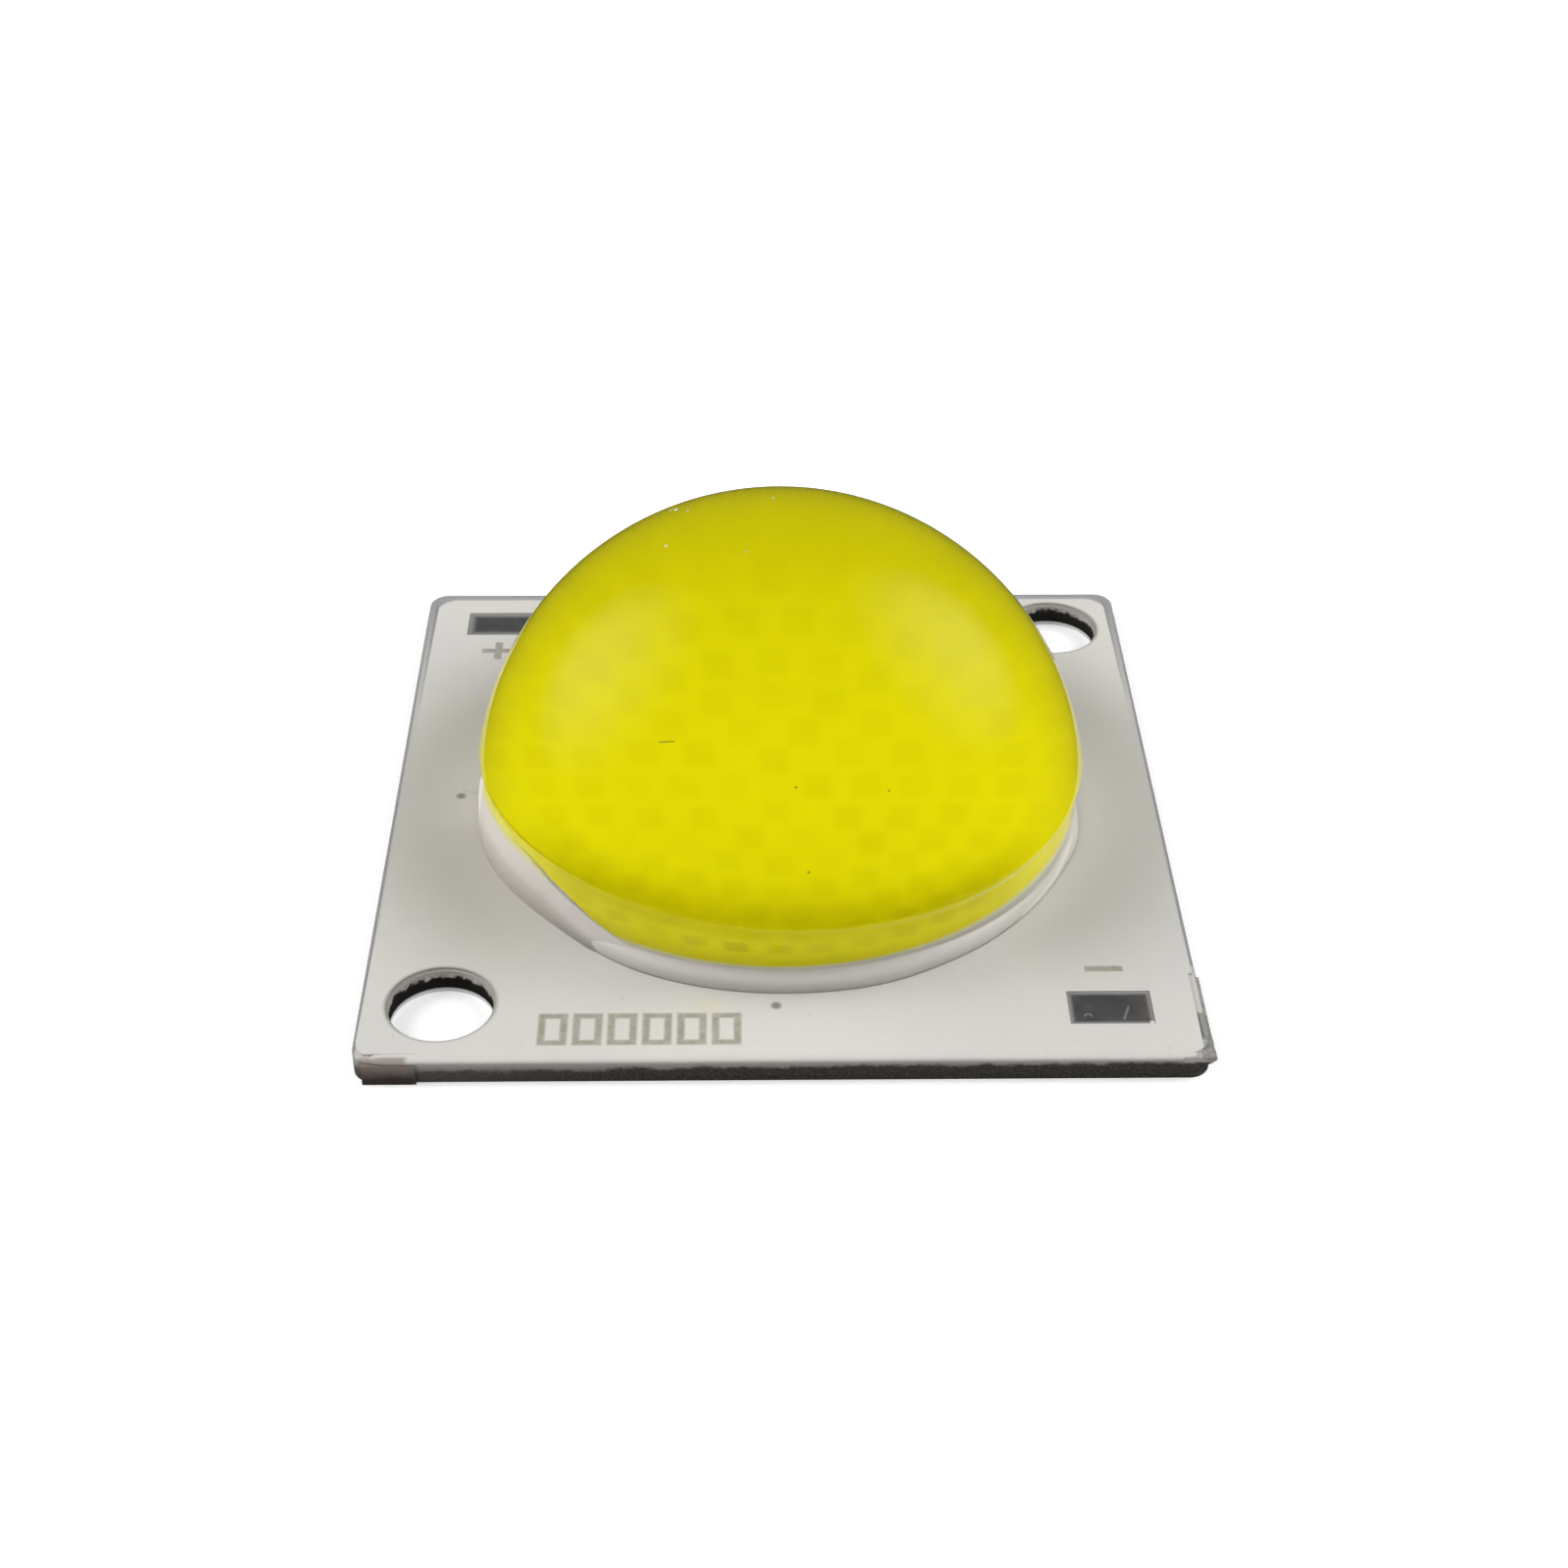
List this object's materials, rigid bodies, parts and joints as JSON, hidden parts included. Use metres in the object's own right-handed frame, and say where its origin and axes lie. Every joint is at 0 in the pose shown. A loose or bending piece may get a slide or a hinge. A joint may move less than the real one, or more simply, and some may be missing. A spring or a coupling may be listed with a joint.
{
  "type": "cob led",
  "caption": "Square chip-on-board LED on an aluminium plate, with a phosphor field under a clear hemispherical lens, diagonal screw holes and corner solder pads.",
  "frame": {"origin": "centre of the aluminium plate, on its underside", "axes": "+Z out of the lens, +X to the right and -Y to the edge with the negative pad"},
  "size_m": [0.0281, 0.0281, 0.0124],
  "materials": {
    "plate_aluminium": "punched aluminium, satin faces, sheared edges",
    "insulating_layer": "grey filled epoxy, satin",
    "copper": "tinned copper, dull dark grey",
    "white_coat": "white solder mask, satin",
    "dam_silicone": "white silicone, smooth",
    "phosphor_silicone": "yellow phosphor in silicone, smooth",
    "lens_silicone": "clear silicone, polished",
    "die": "semiconductor on sapphire, polished",
    "bond_wire": "drawn gold alloy wire"
  },
  "bodies": {
    "root": {"base_plate": "plate_aluminium", "dielectric_layer": "insulating_layer", "solder_mask": "white_coat", "positive_trace": "copper", "negative_trace": "copper", "dam_ring": "dam_silicone", "phosphor_fill": "phosphor_silicone", "dome_lens": "lens_silicone", "led_string_01": "die", "led_string_02": "die", "led_string_03": "die", "led_string_04": "die", "led_string_05": "die", "led_string_06": "die", "led_string_07": "die", "led_string_08": "die", "led_string_09": "die", "led_string_10": "die", "led_string_11": "die", "led_string_12": "die", "wire_string_01": "bond_wire", "wire_string_02": "bond_wire", "wire_string_03": "bond_wire", "wire_string_04": "bond_wire", "wire_string_05": "bond_wire", "wire_string_06": "bond_wire", "wire_string_07": "bond_wire", "wire_string_08": "bond_wire", "wire_string_09": "bond_wire", "wire_string_10": "bond_wire", "wire_string_11": "bond_wire", "wire_string_12": "bond_wire"}
  },
  "joints": []
}
